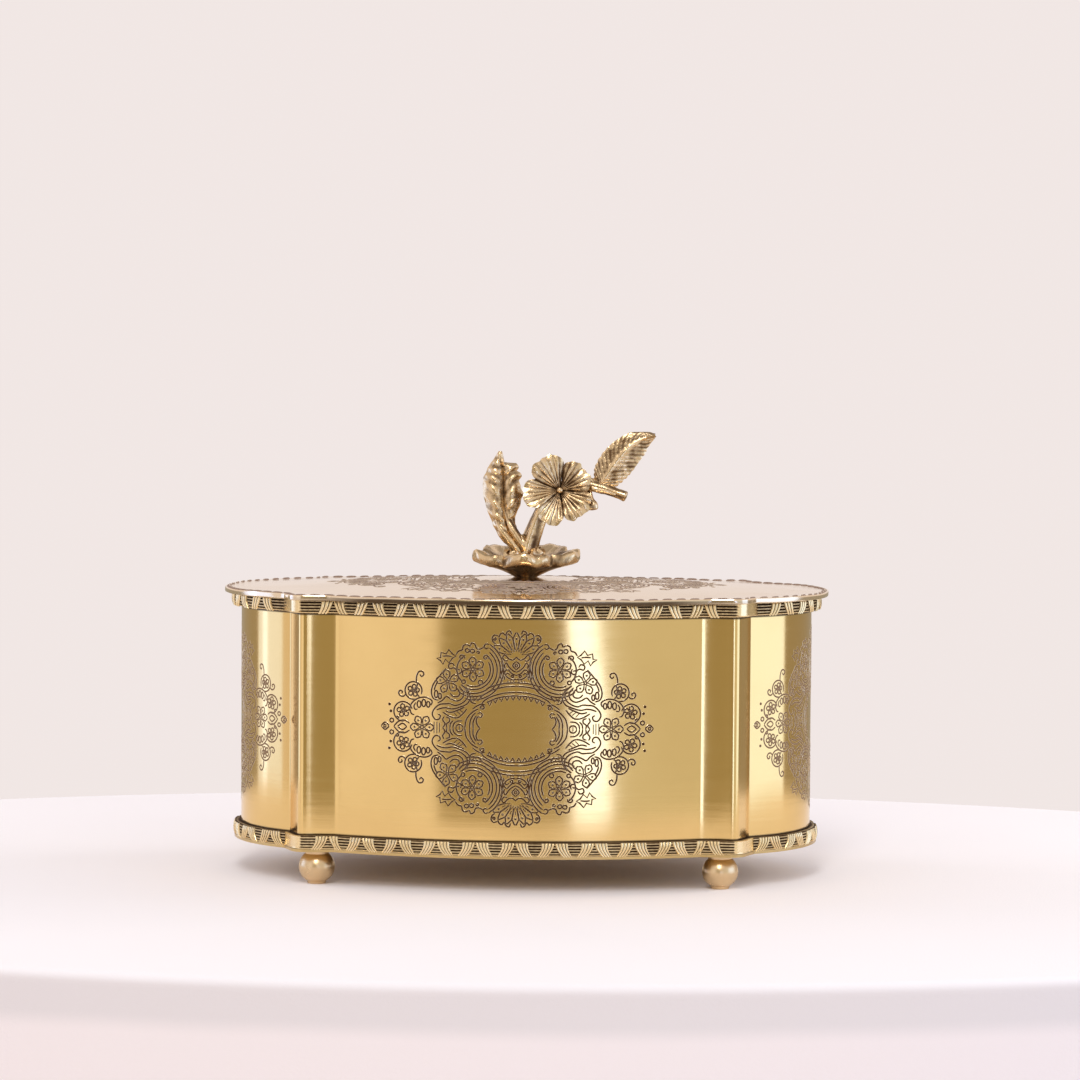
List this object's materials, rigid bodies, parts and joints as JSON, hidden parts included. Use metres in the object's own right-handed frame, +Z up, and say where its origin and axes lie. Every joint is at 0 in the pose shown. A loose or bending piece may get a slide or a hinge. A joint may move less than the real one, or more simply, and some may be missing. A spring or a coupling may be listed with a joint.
{
  "type": "lidded dry fruit box",
  "caption": "Footed sheet-brass box of cartouche plan with leaf-and-reed borders and a lift-off lid topped by a cast spray of flower and leaves.",
  "frame": {"origin": "on the table, under the middle of the box, in the plane of the feet", "axes": "+Z up, +X along the long side of the box to the right as seen from the front, -Y towards the front, the side that the flower faces"},
  "size_m": [0.256, 0.1582, 0.1867],
  "materials": {
    "brass_wall": "satin polished sheet, engraved",
    "brass_lid": "polished sheet, engraved",
    "brass_border": "stamped, antique patina in the recesses",
    "brass_feet": "satin turned",
    "brass_cast": "cast, antique patina",
    "brass_screws": "turned"
  },
  "bodies": {
    "box": {"body_wall": "brass_wall", "floor_plate": "brass_wall", "lower_border_front": "brass_border", "lower_border_back": "brass_border", "lower_border_left": "brass_border", "lower_border_right": "brass_border", "upper_border_front": "brass_border", "upper_border_back": "brass_border", "upper_border_left": "brass_border", "upper_border_right": "brass_border", "foot_front_left": "brass_feet", "foot_front_right": "brass_feet", "foot_back_left": "brass_feet", "foot_back_right": "brass_feet", "foot_screws": "brass_screws"},
    "lid": {"lid_plate": "brass_lid", "lid_flange": "brass_lid", "rosette": "brass_cast", "finial_stem": "brass_cast", "flower": "brass_cast", "stamen": "brass_cast", "bud": "brass_cast", "left_leaf": "brass_cast", "right_leaf": "brass_cast", "finial_screw": "brass_screws", "finial_washer": "brass_screws"}
  },
  "joints": [
    {"name": "lid_lift", "type": "slide", "parent": "box", "child": "lid", "axis": [0, 0, 1], "range_m": [0, 0.12]}
  ]
}
